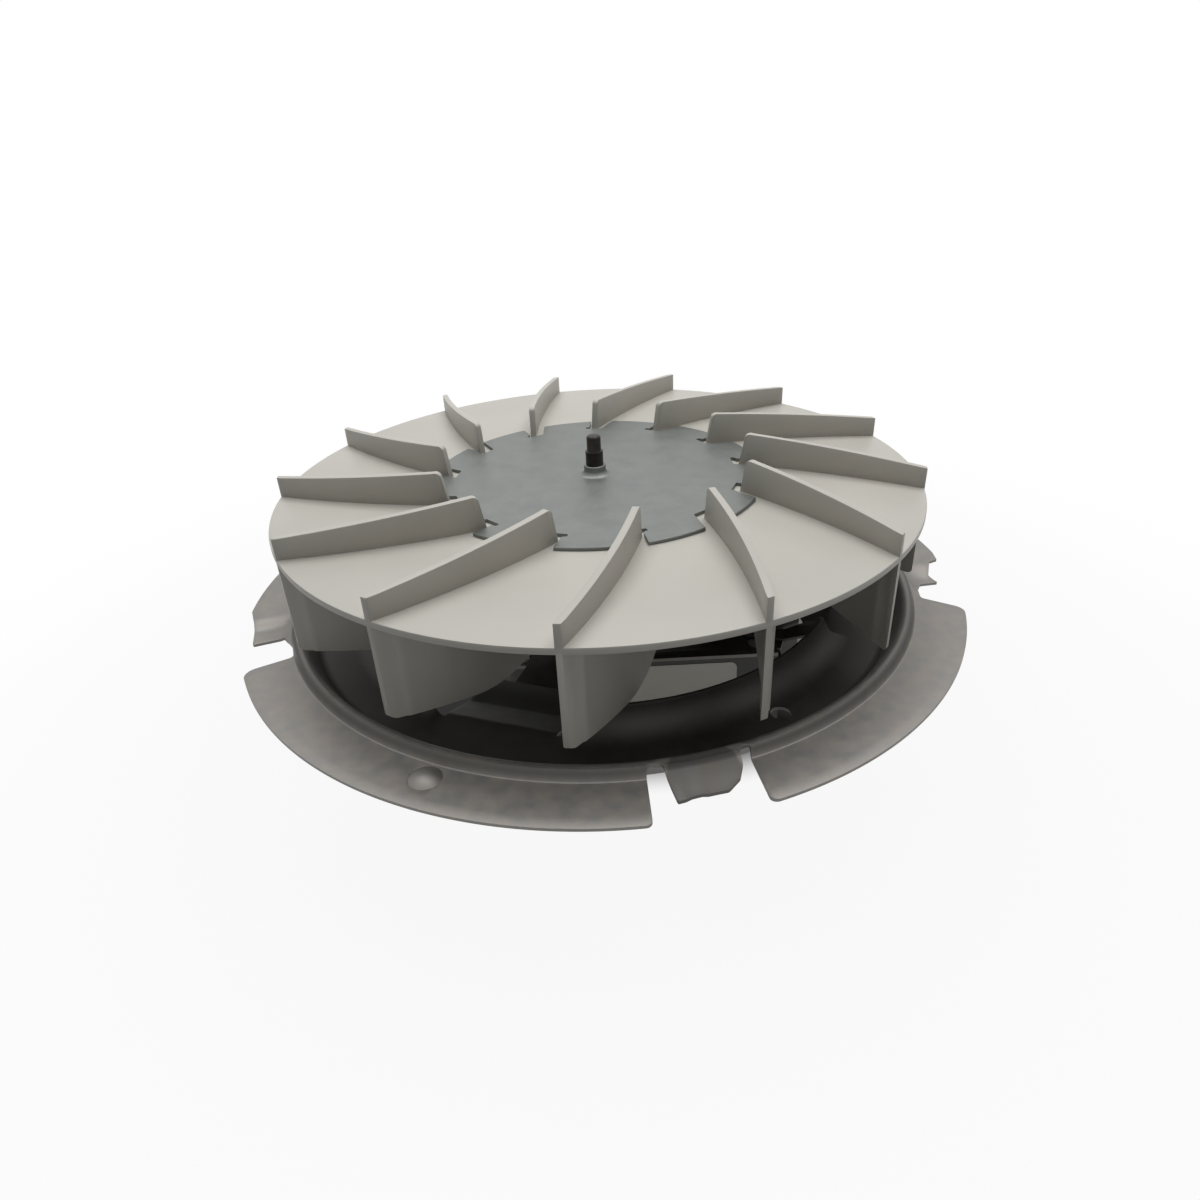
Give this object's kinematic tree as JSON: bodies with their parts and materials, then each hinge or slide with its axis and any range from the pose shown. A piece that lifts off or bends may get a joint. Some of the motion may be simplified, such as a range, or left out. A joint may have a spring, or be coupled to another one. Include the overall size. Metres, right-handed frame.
{
  "type": "oven fan motor",
  "caption": "Oven fan motor: shaded-pole motor under a round pressed mounting plate with an inlet mouth, and a wide bladed impeller on its shaft.",
  "frame": {"origin": "on the shaft axis, level with the lowest faces of the motor", "axes": "+Z along the shaft towards the impeller, +X towards the coil, -Y the front with the label"},
  "size_m": [0.2096, 0.2096, 0.0914],
  "materials": {
    "plate_steel": "satin",
    "bracket_steel": "satin",
    "core_steel": "satin",
    "zinc_steel": "satin",
    "hub_steel": "satin",
    "black_steel": "satin",
    "cast_aluminium": "satin",
    "copper": "gloss",
    "tinned_brass": "satin",
    "bearing_bronze": "satin",
    "bobbin_plastic": "matte",
    "coil_tape": "satin",
    "felt": "matte",
    "washer_plastic": "matte",
    "label": "matte",
    "fan_plastic": "satin"
  },
  "bodies": {
    "frame": {"mounting_plate": "plate_steel", "motor_bracket": "bracket_steel", "stator_core": "core_steel", "coil_core": "core_steel", "coil_bobbin": "bobbin_plastic", "coil_winding": "copper", "coil_wrap": "coil_tape", "power_terminals": "tinned_brass", "shading_rings": "copper", "core_rivets": "zinc_steel", "upper_bearing_bridge": "zinc_steel", "lower_bearing_bridge": "zinc_steel", "upper_bearing": "bearing_bronze", "lower_bearing": "bearing_bronze", "upper_bearing_cap": "zinc_steel", "lower_bearing_cap": "zinc_steel", "upper_oil_felt": "felt", "lower_oil_felt": "felt", "motor_screws": "zinc_steel", "motor_nuts": "zinc_steel", "earth_tab": "tinned_brass", "rating_label": "label"},
    "rotor": {"shaft": "black_steel", "rotor_core": "core_steel", "rotor_cage": "cast_aluminium", "upper_thrust_washer": "washer_plastic", "lower_thrust_washer": "washer_plastic", "hub_bush": "zinc_steel", "hub_disc": "hub_steel", "impeller": "fan_plastic"}
  },
  "joints": [
    {"name": "fan_spin", "type": "hinge", "parent": "frame", "child": "rotor", "pos_m": [0, 0, 0.0222], "axis": [0, 0, 1], "continuous": true}
  ]
}
